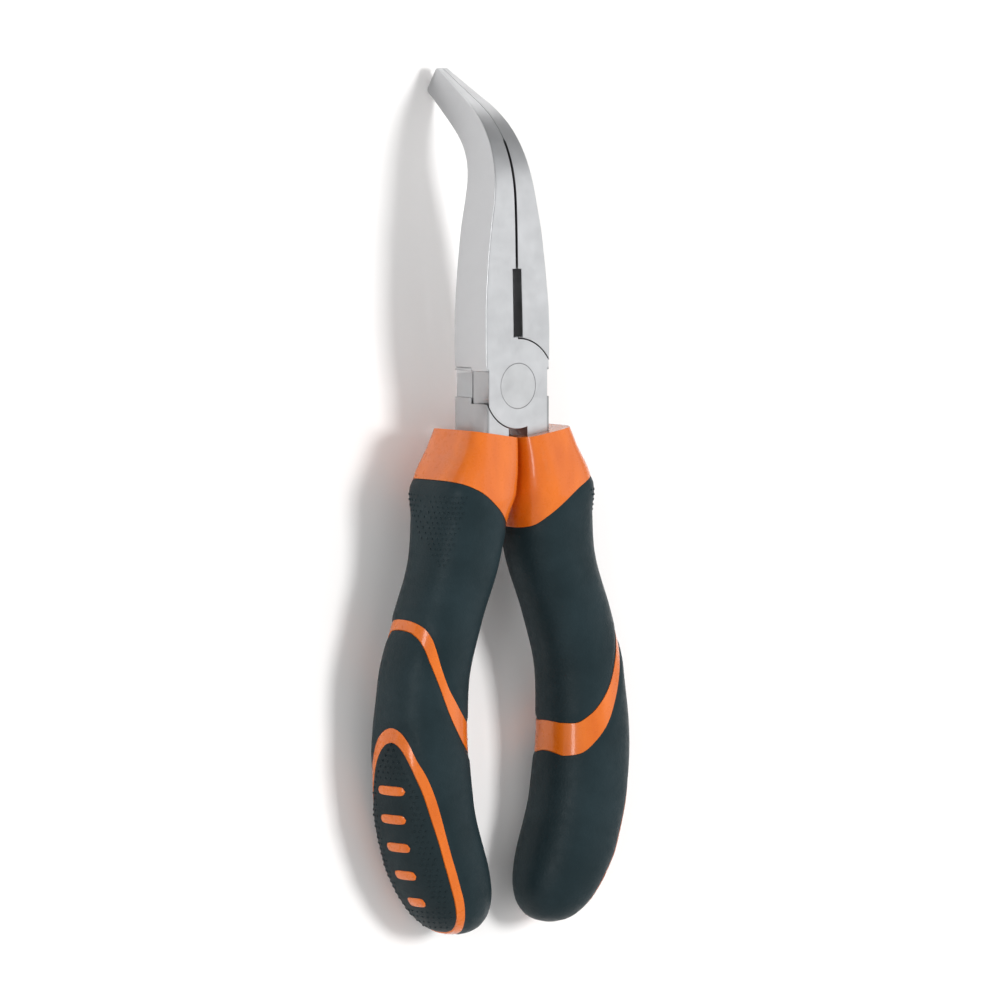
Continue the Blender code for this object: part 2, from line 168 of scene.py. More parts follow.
# Marks: plain raised bars across the end panel
MARK_COUNT = 5
MARK_TOP = -72.5
MARK_FOOT = -93.5
MARK_REACH = radians(20.0)
MARK_SHRINK = 0.08             # each bar is shorter than the one above by this part of the first
MARK_HALF_WIDTH = 0.85
MARK_LIFT = 0.22
MARK_SINK = 0.3                # the underside lies this far under the skin
MARK_END = 0.05                # size of a bar's end sections, as a part of its middle one
MARK_STEPS = 8                 # sections either way from a bar's middle
MARK_POINTS = 16
MARK_CLEAR = (0.1, 1.6)        # no pips this close, in radians round the skin and in height

# The outlines of the moulded pieces, seen from the front, run out to these limits
INSIDE = -4.0                  # past the middle plane
OUTSIDE = 40.0                 # past the outer side
ABOVE = 5.0                    # over the collar
BELOW = -110.0                 # under the handle's end
CUTTER_REACH = 20.0            # and their cutters this far to the front and to the back
PANEL_CORNER = -60.0           # height of the panel outline's outer corner
WHOLE_PANEL_CORNER = -58.0     # and of the outline that takes in the rim

# Edges of the moulded pieces, seen from the front: distance out from the middle, height
COLLAR_EDGE = ((24.0, -15.6), (17.3, -16.6), (12.0, -18.7), (8.5, -21.2), (5.2, -24.0), (3.0, -26.0),
               (0.0, -27.0), (-4.0, -27.2))
STRIPE_TOP = {
    "left": ((32.0, -41.0), (24.5, -41.3), (22.4, -43.0), (21.4, -45.3), (20.9, -47.6), (20.3, -50.2),
             (18.6, -54.3), (17.5, -56.0), (16.5, -57.4), (15.4, -58.8), (14.0, -60.2), (12.0, -61.4),
             (7.0, -62.6)),
    "right": ((32.0, -45.6), (24.1, -46.0), (23.0, -47.8), (22.0, -51.1), (20.3, -55.7), (18.5, -58.5),
              (15.4, -61.6), (12.8, -63.1), (11.2, -63.1), (10.3, -62.2), (9.0, -60.8), (6.0, -60.0))}
STRIPE_FOOT = {
    "left": ((32.0, -42.9), (24.3, -43.5), (23.2, -45.4), (22.4, -49.0), (20.1, -55.4), (18.7, -58.8),
             (17.0, -61.9), (15.6, -63.9), (14.4, -65.2), (12.5, -66.6), (9.0, -67.6), (5.0, -68.0)),
    "right": ((32.0, -46.9), (24.5, -47.5), (23.9, -49.4), (23.4, -53.0), (22.4, -56.5), (21.2, -59.4),
              (19.4, -63.0), (16.7, -66.2), (13.4, -68.8), (11.3, -69.2), (10.3, -68.0), (9.0, -66.6),
              (6.0, -65.8))}
PANEL_EDGE = ((33.0, -56.5), (30.0, -58.3), (28.5, -60.2), (27.6, -63.6), (26.9, -66.5), (25.5, -69.8),
              (24.2, -73.4), (23.2, -76.7), (21.6, -82.0), (19.5, -88.0), (16.9, -93.5), (14.8, -98.0),
              (11.5, -103.5))
PANEL_INNER = ((34.0, -57.1), (31.0, -58.5), (29.5, -59.8), (28.8, -61.3), (28.35, -63.8), (27.2, -69.0),
               (25.9, -73.4), (24.8, -77.4), (23.1, -82.4), (21.2, -88.0), (18.6, -93.5), (16.5, -97.5),
               (13.3, -103.0))
PANEL_TURN = radians(13.0)     # the end panel is turned this far from the outer side
TURNED = {"left": 1.0, "right": -1.6}   # towards the front on the left handle, the back on the right

REAR_BODY = "rear_tool_half"
FRONT_BODY = "front_tool_half"
SIDES = {"left": (-1, REAR_BODY), "right": (1, FRONT_BODY)}   # side of the pivot, body it moves with

# Looks of the steel, with painted shade on its sides
CLOUDS_AND_SHADE_TINT = 0.56                # brightness of the darkest steel, towards which the painted shade and the random clouds blend
SIDE_FADE = (6.85, 6.95)       # the joint's sides painted with shade start between these distances from the middle
SHOULDER_FADE = (-0.3, 0.2)    # and end between these heights from the shoulders
SIDE_PAINTED_SHADE = 0.6             # how far faces that look sideways are painted towards the darkest steel, as shade
SIDE_TURN = (0.6, 0.9)         # size of a normal's X where that starts and where it is complete


def tool_to_row():
    """Return the matrix from the tool's frame in millimetres to the model's frame in metres."""
    joint = frame["joints"][0]
    out = Vector(joint["axis"]).normalized()
    right = Vector((1.0, 0.0, 0.0))
    turn = Matrix((right, out.cross(right), out)).transposed().to_4x4()
    return Matrix.Translation(Vector(joint["pos_m"])) @ turn @ Matrix.Scale(MM, 4)


TO_ROW = tool_to_row()


# ---------------------------------------------------------------- materials

class Surface:
    """A procedural material that is built up node by node."""

    def __init__(self, name, color, roughness, metallic=0.0):
        self.material = bpy.data.materials.new(name)
        self.material.use_nodes = True
        self.nodes = self.material.node_tree.nodes
        self.links = self.material.node_tree.links
        self.shader = self.nodes["Principled BSDF"]
        self.shader.inputs["Base Color"].default_value = (*color, 1.0)
        self.shader.inputs["Roughness"].default_value = roughness
        self.shader.inputs["Metallic"].default_value = metallic
        self.place = self.nodes.new("ShaderNodeTexCoord").outputs["Object"]

    def stretched(self, scale):
        """Return object coordinates scaled along each axis."""
        mapping = self.nodes.new("ShaderNodeMapping")
        mapping.inputs["Scale"].default_value = scale
        self.links.new(self.place, mapping.inputs["Vector"])
        return mapping.outputs["Vector"]

    def noise(self, scale, detail=3.0, place=None, rough=0.5):
        """Return a noise value whose grain is about 1 / scale metres."""
        node = self.nodes.new("ShaderNodeTexNoise")
        node.inputs["Scale"].default_value = scale
        node.inputs["Detail"].default_value = detail
        node.inputs["Roughness"].default_value = rough
        self.links.new(place or self.place, node.inputs["Vector"])
        return node.outputs["Fac"]

    def cells(self, scale):
        """Return the distance to the nearest cell centre of a fine pebble pattern."""
        node = self.nodes.new("ShaderNodeTexVoronoi")
        node.inputs["Scale"].default_value = scale
        self.links.new(self.place, node.inputs["Vector"])
        return node.outputs["Distance"]

    def spread(self, value, low, high, start=0.3, end=0.7):
        """Map a value that runs from start to end to a range from low to high."""
        node = self.nodes.new("ShaderNodeMapRange")
        for socket, number in (("From Min", start), ("From Max", end), ("To Min", low), ("To Max", high)):
            node.inputs[socket].default_value = number
        self.links.new(value, node.inputs["Value"])
        return node.outputs["Result"]

    def combine(self, operation, first, second):
        """Combine two values."""
        node = self.nodes.new("ShaderNodeMath")
        node.operation = operation
        self.links.new(first, node.inputs[0])
        self.links.new(second, node.inputs[1])
        return node.outputs["Value"]

    def split(self, vector):
        """Return the size of a vector's X, and its Y."""
        parts = self.nodes.new("ShaderNodeSeparateXYZ")
        self.links.new(vector, parts.inputs["Vector"])
        across = self.nodes.new("ShaderNodeMath")
        across.operation = 'ABSOLUTE'
        self.links.new(parts.outputs["X"], across.inputs[0])
        return across.outputs["Value"], parts.outputs["Y"]

    def joint_side_shade(self):
        """Return the mask of painted shade: 1 on the outer sides of the joint below the jaws' shoulders, 0
        elsewhere.
        """
        across, along = self.split(self.place)
        outside = self.spread(across, 0.0, 1.0, *(x * MM for x in SIDE_FADE))
        shoulder = TO_ROW.translation.y + RELIEF_Y[1] * MM
        below = self.spread(along, 1.0, 0.0, *(shoulder + y * MM for y in SHOULDER_FADE))
        return self.combine('MULTIPLY', outside, below)

    def side_face_shade(self):
        """Return the painted shade on the faces that look to the left or right, at its set full strength, and
        0 on the others.
        """
        across, _ = self.split(self.nodes["Texture Coordinate"].outputs["Normal"])
        return self.spread(across, 0.0, SIDE_PAINTED_SHADE, *SIDE_TURN)

    def blend_color(self, value, low, high):
        """Colour the surface between two colours."""
        node = self.nodes.new("ShaderNodeMix")
        node.data_type = 'RGBA'
        node.inputs["A"].default_value = (*low, 1.0)
        node.inputs["B"].default_value = (*high, 1.0)
        self.links.new(value, node.inputs["Factor"])
        self.links.new(node.outputs["Result"], self.shader.inputs["Base Color"])

    def rough(self, value):
        """Drive the roughness."""
        self.links.new(value, self.shader.inputs["Roughness"])

    def bump(self, layers):
        """Stack bumps of (value, height in metres, strength)."""
        normal = None
        for value, height, strength in layers:
            node = self.nodes.new("ShaderNodeBump")
            node.inputs["Distance"].default_value = height
            node.inputs["Strength"].default_value = strength
            self.links.new(value, node.inputs["Height"])
            if normal:
                self.links.new(normal, node.inputs["Normal"])
            normal = node.outputs["Normal"]
        self.links.new(normal, self.shader.inputs["Normal"])


def steel_surface(name, tint, roughness, brush):
    """Satin chrome steel: faint brushing, cloudy wear, painted shade on the sides and an uneven polish."""
    surface = Surface(name, tint, roughness, metallic=1.0)
    clouds = surface.noise(160.0, 4.0)
    cloudy = surface.spread(clouds, 0.0, 0.25)
    # painted shade: the joint's sides below the shoulders and the faces that look sideways are darkened in
    # the colour itself
    painted_shade = surface.combine('MAXIMUM', surface.joint_side_shade(), surface.side_face_shade())
    clouds_and_painted_shade = surface.combine('MAXIMUM', cloudy, painted_shade)
    surface.blend_color(clouds_and_painted_shade, tint, [c * CLOUDS_AND_SHADE_TINT for c in tint])
    lines = surface.noise(1.0, 2.0, surface.stretched(brush))
    smears = surface.noise(420.0, 5.0, rough=0.65)
    surface.rough(surface.spread(smears, roughness - 0.05, roughness + 0.07))
    surface.bump([(lines, 0.00003, 0.22), (surface.noise(2600.0, 2.0), 0.00001, 0.3)])
    return surface.material


def orange_surface():
    """Glossy moulded plastic with a faint flow pattern and fine handling scuffs."""
    surface = Surface("orange_plastic", (0.72, 0.16, 0.010), 0.26)
    surface.shader.inputs["Specular IOR Level"].default_value = 0.3
    surface.shader.inputs["Coat Weight"].default_value = 0.6
    surface.shader.inputs["Coat Roughness"].default_value = 0.12
    flow = surface.noise(1.0, 3.0, surface.stretched((260.0, 90.0, 260.0)))
    surface.blend_color(surface.spread(flow, 0.0, 1.0), (0.62, 0.120, 0.004), (0.74, 0.162, 0.009))
    scuffs = surface.noise(900.0, 6.0, rough=0.7)
    surface.rough(surface.spread(scuffs, 0.22, 0.36))
    surface.bump([(surface.noise(1500.0, 3.0), 0.00002, 0.25)])
    return surface.material


def rubber_surface(name, dark, light, roughness):
    """Soft overmould: a fine spark-eroded grain, rubbed lighter in broad patches."""
    surface = Surface(name, dark, roughness)
    surface.shader.inputs["Specular IOR Level"].default_value = 0.17
    patches = surface.noise(95.0, 5.0, rough=0.6)
    surface.blend_color(surface.spread(patches, 0.0, 1.0, 0.35, 0.75), dark, light)
    grain = surface.cells(2600.0)
    surface.rough(surface.spread(surface.noise(700.0, 4.0), roughness - 0.06, roughness + 0.08))
    surface.bump([(grain, 0.00006, 0.5), (surface.noise(1100.0, 4.0), 0.00005, 0.35)])
    return surface.material


STEEL = steel_surface("satin_steel", (0.69, 0.70, 0.715), 0.33, (5200.0, 260.0, 5200.0))
RIVET = steel_surface("turned_steel", (0.68, 0.69, 0.70), 0.34, (900.0, 900.0, 900.0))
ORANGE = orange_surface()
RUBBER = rubber_surface("dark_rubber", (0.010, 0.021, 0.025), (0.017, 0.032, 0.038), 0.46)
PANEL = rubber_surface("panel_rubber", (0.009, 0.017, 0.020), (0.014, 0.026, 0.030), 0.52)


# ---------------------------------------------------------------- mesh helpers

def skin(bm, rings):
    """Skin closed rings of the same number of points into one capped solid."""
    loops = [[bm.verts.new(point) for point in ring] for ring in rings]
    count = len(loops[0])
    for low, high in zip(loops, loops[1:]):
        for i in range(count):
            j = (i + 1) % count
            bm.faces.new((low[i], low[j], high[j], high[i]))
    bm.faces.new(loops[0])
    bm.faces.new(loops[-1])


def placed(name, data):
    """Make an object of a mesh, camera or light, and put it in the scene."""
    made = bpy.data.objects.new(name, data)
    bpy.context.scene.collection.objects.link(made)
    return made


def meshed(name, bm):
    """Make an object of an edit mesh, and use the edit mesh up."""
    mesh = bpy.data.meshes.new(name)
    bm.to_mesh(mesh)
    bm.free()
    return placed(name, mesh)


def solid(name, *ring_stacks):
    """Make an object of one or more skinned solids, in the tool's frame."""
    bm = bmesh.new()
    for rings in ring_stacks:
        skin(bm, rings)
    bmesh.ops.recalc_face_normals(bm, faces=bm.faces)
    return meshed(name, bm)


def circle(radius, sides, height):
    """Return the points of a level circle round the Z axis."""
    angles = [2 * pi * i / sides for i in range(sides)]
    return [(radius * cos(angle), radius * sin(angle), height) for angle in angles]


def settle(piece):
    """Turn a piece's modifiers into its mesh."""
    depsgraph = bpy.context.evaluated_depsgraph_get()
    mesh = bpy.data.meshes.new_from_object(piece.evaluated_get(depsgraph))
    piece.modifiers.clear()
    old = piece.data
    piece.data = mesh
    bpy.data.meshes.remove(old)


def boolean(piece, tool, operation):
    """Cut, join or trim a piece with a tool, and use the tool up."""
    cut = piece.modifiers.new("cut", 'BOOLEAN')
    cut.operation = operation
    cut.object = tool
    settle(piece)
    bpy.data.objects.remove(tool)


def round_edges(piece, width, segments):
    """Round a piece's sharp edges."""
    bevel = piece.modifiers.new("round", 'BEVEL')
    bevel.width = width
    bevel.segments = segments
    bevel.limit_method = 'ANGLE'
    bevel.angle_limit = SHARP
    bevel.use_clamp_overlap = False
    settle(piece)


def flatten_normals(piece):
    """Let the large flat faces keep flat shading right up to their rounded edges."""
    piece.data.shade_smooth()
    piece.data.set_sharp_from_angle(angle=STEEL_CREASE)
    weighted = piece.modifiers.new("flat", 'WEIGHTED_NORMAL')
    weighted.weight = 100       # the largest faces decide
    weighted.keep_sharp = True
    settle(piece)


def finish_piece(piece, surface, body, slot, *nodes, crease=CREASE):
    """Carry a piece to the model's frame, give it its looks and tie it to its body."""
    mesh = piece.data
    mesh.transform(TO_ROW)
    mesh.materials.clear()
    mesh.materials.append(surface)
    mesh.shade_smooth()
    mesh.set_sharp_from_angle(angle=crease)
    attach(piece, body)
    if nodes:
        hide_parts(*nodes)


def smooth_curve(knots):
    """Return a function through (position, value, ...) knots that never overshoots between them."""
    table = np.array(sorted(knots))
    at, values = table[:, 0], table[:, 1:]
    slopes = np.diff(values, axis=0) / np.diff(at)[:, None]
    both = slopes[:-1] * slopes[1:]
    total = np.where(both > 0, slopes[:-1] + slopes[1:], 1.0)
    tangents = np.vstack([slopes[:1], np.where(both > 0, 2 * both / total, 0.0), slopes[-1:]])

    def value(position):
        i = int(np.clip(np.searchsorted(at, position) - 1, 0, len(at) - 2))
        step = at[i + 1] - at[i]
        u = (position - at[i]) / step
        return ((1 + 2 * u) * (1 - u) ** 2 * values[i] + u * (1 - u) ** 2 * step * tangents[i]
                + u * u * (3 - 2 * u) * values[i + 1] + u * u * (u - 1) * step * tangents[i + 1])
    return value


# ---------------------------------------------------------------- forged halves

NOSE_SIZE = smooth_curve(NOSE)
HANDLE_SIZE = smooth_curve(HANDLE)
TANG_SIZE = smooth_curve(TANG)


def nose_frame(distance):
    """Return the point (y, z) and the heading of the nose's middle line at a distance along it."""
    y, z, heading = min(distance, FALL_START), 0.0, 0.0
    length = max(0.0, distance - FALL_START) / NOSE_STEPS
    for step in range(NOSE_STEPS):
        u = min(max((FALL_START + (step + 0.5) * length - BEND_START) / BEND_LENGTH, 0.0), 1.0)
        heading = FALL + (BEND_ANGLE - FALL) * u * u * (3 - 2 * u)
        y += length * cos(heading)
        z -= length * sin(heading)
    return y, z, heading if distance > FALL_START else 0.0


def rounded_corner(x, h, radius, quadrant):
    """Return the points of a corner's arc; quadrant 0 is the upper right one, 1 the lower right."""
    start = pi / 2 if quadrant == 0 else 0.0
    points = []
    for i in range(CORNER_POINTS):
        angle = start - i / (CORNER_POINTS - 1) * pi / 2
        middle_h = h - radius if quadrant == 0 else h + radius
        points.append((x - radius + radius * cos(angle), middle_h + radius * sin(angle)))
    return points


def jaw_rings(side):
    """Return the sections of one jaw, from its shoulder to the tip."""
    rings = []
    distances = list(np.arange(NOSE[0][0], GRIP_START, NOSE_RING_STEP)) + [GRIP_START]
    distances += list(np.arange(GRIP_START + GRIP_STEP, NOSE_END - TIP_LENGTH, NOSE_RING_STEP))
    distances += [NOSE_END - TIP_LENGTH * (1 - i / TIP_STEPS) for i in range(TIP_STEPS + 1)]
    for distance in distances:
        half_width, half_depth = NOSE_SIZE(distance)
        y, z, heading = nose_frame(distance)
        radius = min(EDGE_ROUND, EDGE_SHARE * half_width)
        inner = (JAW_GAP if distance <= GRIP_START else GRIP_GAP) / 2
        profile = ([(inner, half_depth)] + rounded_corner(half_width, half_depth, radius, 0)
                   + rounded_corner(half_width, -half_depth, radius, 1) + [(inner, -half_depth)])
        rings.append([(side * x, y + h * sin(heading), z + h * cos(heading)) for x, h in profile])
    return rings


def teeth_rings():
    """Return the sections of the cutter that leaves the cross teeth on both gripping faces."""
    rings = []
    start = GRIP_START + TEETH_MARGIN
    count = int((NOSE_END - TEETH_MARGIN - start) / (TOOTH_PITCH / 2))
    for i in range(count):
        distance = start + i * TOOTH_PITCH / 2
        half_depth = NOSE_SIZE(distance)[1] - TEETH_SIDE
        y, z, heading = nose_frame(distance)
        reach = GRIP_GAP / 2 + (TOOTH_DEPTH if i % 2 else TOOTH_CREST)
        corners = ((reach, half_depth), (reach, -half_depth), (-reach, -half_depth), (-reach, half_depth))
        rings.append([(x, y + h * sin(heading), z + h * cos(heading)) for x, h in corners])
    return rings


def superellipse(angle, half_width, half_depth, squareness):
    """Return the point (across, depth) of a superellipse at an angle."""
    across = np.sign(cos(angle)) * abs(cos(angle)) ** (2 / squareness) * half_width
    depth = np.sign(sin(angle)) * abs(sin(angle)) ** (2 / squareness) * half_depth
    return across, depth


def section(centre, height, half_width, half_depth, squareness, tilt, side, points):
    """Return one closed superellipse section of a handle or tang."""
    ring = []
    for i in range(points):
        across, depth = superellipse(2 * pi * (i + 0.5) / points, half_width, half_depth, squareness)
        ring.append((side * (centre + across), height + tilt * across, depth))
    return ring


def tang_rings(side):
    """Return the sections of the steel tang inside a handle."""
    rings = []
    for height in np.linspace(TANG[0][0], TANG[-1][0], TANG_RINGS):
        centre, half_width, half_depth = TANG_SIZE(height)
        rings.append(section(centre, height, half_width, half_depth, TANG_SQUARENESS, 0.0, side, TANG_POINTS))
    return rings


def turned(name, stack):
    """Make a solid of revolution on the pivot's axis from (radius, low, high) slices."""
    outline = []
    for radius, low, high in stack:
        outline += [(radius, low), (radius, high)]
    return solid(name, [circle(radius, ROUND_SIDES, z) for radius, z in outline])


def arc(radius, start, end, steps=ARC_STEPS):
    """Return the points of an arc about the pivot between two angles."""
    angles = [start + (end - start) * i / steps for i in range(steps + 1)]
    return [(radius * cos(angle), radius * sin(angle)) for angle in angles]


def joint_outline(jaw_side, upper_radius):
    """Return the outline of one layer of the joint: boss, jaw root and tang root in one piece."""
    wide = JOINT_HALF_WIDTH
    set_back = wide - RELIEF_DEPTH
    low, high = RELIEF_Y
    root_x, root_y = TANG_ROOT
    outline = [(root_x, root_y), (wide, root_y), (wide, low), (set_back, low), (set_back, high),
               (wide, high)]
    outline += arc(upper_radius, np.arccos(wide / upper_radius), pi / 2)
    outline += [(0.0, JAW_ROOT_Y), (-set_back, JAW_ROOT_Y)]
    first = pi + np.arccos(set_back / LOWER_RADIUS)
    last = 2 * pi - np.arccos(root_x / LOWER_RADIUS)
    outline += arc(LOWER_RADIUS, first, last)
    return [(-jaw_side * x, y) for x, y in outline]


def plate(name, outline, low, high):
    """Make a flat piece from an outline seen from the front."""
    return solid(name, [[(x, y, z) for x, y in outline] for z in sorted((low, high))])


def forged_half(name, jaw_side, layer, own_radius, other_radius, body):
    """Make one forging: a jaw, a boss in one layer of the lap joint and the opposite tang."""
    face = JOINT_THICKNESS / 2
    far = face + OVERSHOOT
    seam = layer * LAYER_GAP / 2
    half = solid(name + "_forging", jaw_rings(jaw_side))
    root_x, root_y = TANG_ROOT
    corners = ((root_x, root_y), (JOINT_HALF_WIDTH, root_y), (JOINT_HALF_WIDTH, RELIEF_Y[0]),
               (root_x, RELIEF_Y[0]))
    root = [(-jaw_side * x, y) for x, y in corners]
    boolean(half, plate("root", root, -face, face), 'UNION')
    for radius, upward in ((other_radius, 1), (LOWER_RADIUS, -1)):
        reach = arc(radius + SWING_GAP, 0.0, upward * pi, SWING_STEPS)
        boolean(half, plate("swing", reach, seam, -layer * far), 'DIFFERENCE')
    boolean(half, plate("boss", joint_outline(jaw_side, own_radius), seam, layer * face), 'UNION')
    boolean(half, solid("tang", tang_rings(-jaw_side)), 'UNION')
    recess = RIVET_HEAD_RADIUS + RIVET_GAP
    floor = face - RIVET_HEAD_DEPTH - RIVET_GAP
    hole = turned("hole", [(recess, -far, -floor), (RIVET_SHANK_RADIUS + RIVET_GAP, -floor, floor),
                           (recess, floor, far)])
    boolean(half, hole, 'DIFFERENCE')
    wide, narrow, deep = SLOT_HALF_WIDTH, SLOT_WAIST, SLOT_REACH
    hourglass = ((narrow, 0.0), (wide, deep), (-wide, deep), (-narrow, 0.0), (-wide, -deep), (wide, -deep))
    boolean(half, solid("slot", [[(x, y, z) for x, z in hourglass] for y in SLOT_Y]), 'DIFFERENCE')
    round_edges(half, STEEL_EDGE, STEEL_EDGE_SEGMENTS)
    boolean(half, solid("teeth", teeth_rings()), 'DIFFERENCE')
    flatten_normals(half)
    finish_piece(half, STEEL, body, "steel", name, crease=STEEL_CREASE)


def pivot_rivet():
    """Make the rivet with its two flush heads, each with a sloping rim."""
    face = JOINT_THICKNESS / 2
    head, shank, depth = RIVET_HEAD_RADIUS, RIVET_SHANK_RADIUS, RIVET_HEAD_DEPTH
    drawn_in, start, end = RIVET_RIM
    stack = [(head - drawn_in, -face, -face + start), (head, -face + end, depth - face),
             (shank, depth - face, face - depth), (head, face - depth, face - end),
             (head - drawn_in, face - start, face)]
    finish_piece(turned("rivet", stack), RIVET, REAR_BODY, "steel", "pivot_rivet")


# ---------------------------------------------------------------- handles

def edge_line(knots):
    """Return evenly spread points of a smooth edge given by (out, height) knots."""
    curve = smooth_curve(knots)
    return [(out, float(curve(out)[0])) for out in np.linspace(knots[0][0], knots[-1][0], EDGE_POINTS)]


def shifted(line, distance):
    """Move a line sideways by a distance, to the left of its own direction."""
    points = np.array(line)
    ahead = np.gradient(points, axis=0)
    ahead /= np.linalg.norm(ahead, axis=1)[:, None]
    return [tuple(point) for point in points + distance * np.stack([-ahead[:, 1], ahead[:, 0]], axis=1)]


def zones(side_name):
    """Return the zone edges of one handle, and the outlines of its zones, seen from the front."""
    collar = edge_line(COLLAR_EDGE)
    stripe_top = edge_line(STRIPE_TOP[side_name])
    stripe_foot = edge_line(STRIPE_FOOT[side_name])
    panel = edge_line(PANEL_EDGE)
    rim = edge_line(PANEL_INNER)
    half = ZONE_GAP / 2
    outlines = {
        "collar": shifted(collar, -half) + [(COLLAR_EDGE[-1][0], ABOVE), (COLLAR_EDGE[0][0], ABOVE)],
        "stripe": shifted(stripe_top, half) + shifted(stripe_foot, -half)[::-1],
        "rim": shifted(panel, half) + shifted(rim, -half)[::-1],
        "upper": shifted(collar, half) + shifted(stripe_top, -half)[::-1],
        "lower": shifted(stripe_foot, half) + [(INSIDE, BELOW), (OUTSIDE, BELOW)],
        "panel": shifted(rim, half) + [(OUTSIDE, BELOW), (OUTSIDE, PANEL_CORNER)],
        "whole_panel": shifted(panel, -half) + [(OUTSIDE, BELOW), (OUTSIDE, WHOLE_PANEL_CORNER)],
    }
    edges = {"collar": collar, "top": stripe_top, "foot": stripe_foot, "panel": panel, "rim": rim}
    return edges, outlines


def handle_rings(side, top, bottom, inset=0.0):
    """Return the sections of the handle's envelope between two heights, set in by a distance."""
    top, bottom = min(top, HANDLE[0][0]), max(bottom, HANDLE_END)
    count = max(2, int((top - bottom) / RING_STEP))
    heights = list(np.linspace(top, bottom, count))
    if bottom == HANDLE_END:
        dome = [1 - sin(i / DOME_STEPS * pi / 2) for i in range(DOME_STEPS + 1)]
        heights = [h for h in heights if h > HANDLE_END + DOME_HEIGHT + RING_STEP / 2]
        heights += [HANDLE_END + DOME_HEIGHT * part for part in dome]
    rings = []
    for height in heights:
        centre, half_width, half_depth, squareness = HANDLE_SIZE(height)
        if half_depth - inset < LEAST_HALF_DEPTH:
            break
        tilt = COLLAR_TILT * max(0.0, (height - TILT_FOOT) / TILT_HEIGHT)
        rings.append(section(centre, height, half_width - inset, half_depth - inset, squareness, tilt,
                             side, SECTION_POINTS))
    return rings


def distance_to(points, line):
    """Return each point's distance to a line of points, seen from the front."""
    start, end = np.array(line[:-1]), np.array(line[1:])
    along = end - start
    offset = points[:, None, :] - start[None]
    u = np.clip((offset * along).sum(2) / (along ** 2).sum(1), 0.0, 1.0)
    return np.sqrt(((offset - u[..., None] * along) ** 2).sum(2)).min(1)


def roll_edges(piece, side, lines, slant=0.0):
    """Sink a soft skin a little towards its edges, so that it rolls down to its neighbours."""
    mesh = piece.data
    places = np.empty(len(mesh.vertices) * 3)
    mesh.vertices.foreach_get("co", places)
    places = places.reshape(-1, 3)
    front = np.stack([side * places[:, 0] + slant * places[:, 2], places[:, 1]], axis=1)
    near = np.min([distance_to(front, line) for line in lines], axis=0)
    sink = LIP_DEPTH * np.exp(-(near / LIP_REACH) ** 2)
    normals = np.empty(len(mesh.vertices) * 3)
    mesh.vertices.foreach_get("normal", normals)
    places -= normals.reshape(-1, 3) * sink[:, None]
    mesh.vertices.foreach_set("co", places.ravel())
    mesh.update()


def zone_cutter(side, outlines, slant=0.0):
    """Sweep zone outlines right through the handle, front to back, at a slant from the front's normal."""
    ends = (-CUTTER_REACH, CUTTER_REACH)
    return solid("zone", *[[[(side * (x - slant * z), y, z) for x, y in outline] for z in ends]
                           for outline in outlines])


def skin_point(side, height, angle, lift):
    """Return a point lifted off the skin at a height and an angle from the outer side, and the normal."""
    def at(h, a):
        centre, *size = HANDLE_SIZE(h)
        across, depth = superellipse(a, *size)
        return Vector((side * (centre + across), h, depth))
    point = at(height, angle)
    out = side * (at(height, angle + PROBE[0]) - point).cross(at(height + PROBE[1], angle) - point)
    out.normalize()
    if out.x * side * cos(angle) + out.z * sin(angle) < 0.0:
        out.negate()
    return point + lift * out, out


def pips(name, side, places):
    """Make a field of small tapered pips that stand on the skin at the given heights and angles."""
    stacks = []
    for height, angle in places:
        base, out = skin_point(side, height, angle, -PIP_SINK)
        turn = out.to_track_quat('Z', 'Y').to_matrix()
        rings = (circle(PIP_RADIUS, PIP_SIDES, 0.0), circle(PIP_TOP * PIP_RADIUS, PIP_SIDES, PIP_HEIGHT))
        stacks.append([[base + turn @ Vector(point) for point in ring] for ring in rings])
    return solid(name, *stacks)


def panel_half_angle(height):
    """Return how far the end panel reaches round the skin at a height, either way from its middle."""
    centre, half_width = HANDLE_SIZE(height)[:2]
    line = np.array(sorted((y, x) for x, y in edge_line(PANEL_INNER)))
    edge = np.interp(height, line[:, 0], line[:, 1])
    return np.arccos(np.clip((edge - centre) / half_width, -1.0, 1.0))


def panel_places(turned_way):
    """Return the pips of the end panel, in staggered rows that leave the marks free."""
    places = []
    middle = turned_way * PANEL_TURN
    across, down = PANEL_PIP_STEP
    beside, above = MARK_CLEAR
    for row in range(PANEL_PIP_ROWS):
        height = PANEL_PIPS_TOP - row * down
        half_width = HANDLE_SIZE(height)[1]
        reach = panel_half_angle(height) - PANEL_PIP_MARGIN / half_width
        step = across / half_width
        near_marks = MARK_TOP + above > height > MARK_FOOT - above
        for column in range(-PANEL_PIP_COLUMNS, PANEL_PIP_COLUMNS + 1):
            angle = (column + 0.5 * (row % 2)) * step
            on_marks = near_marks and abs(angle) < MARK_REACH + beside
            if abs(angle) < reach and not on_marks:
                places.append((height, middle + angle))
    return places


def thumb_places(turned_way):
    """Return the pips of the thumb rest under the collar, which narrows downwards."""
    places = []
    for row in range(THUMB_PIP_ROWS):
        height = THUMB_PIPS_TOP - row * THUMB_PIP_STEP[1]
        part = row / (THUMB_PIP_ROWS - 1)
        low = radians(THUMB_LOW[0] + THUMB_LOW[1] * part ** THUMB_CURVE)
        high = radians(THUMB_HIGH[0] + THUMB_HIGH[1] * part)
        step = THUMB_PIP_STEP[0] / HANDLE_SIZE(height)[1]
        for column in range(-THUMB_PIP_COLUMNS, THUMB_PIP_COLUMNS + 1):
            angle = (column + 0.5 * (row % 2)) * step
            if low < angle < high:
                places.append((height, turned_way * angle))
    return places


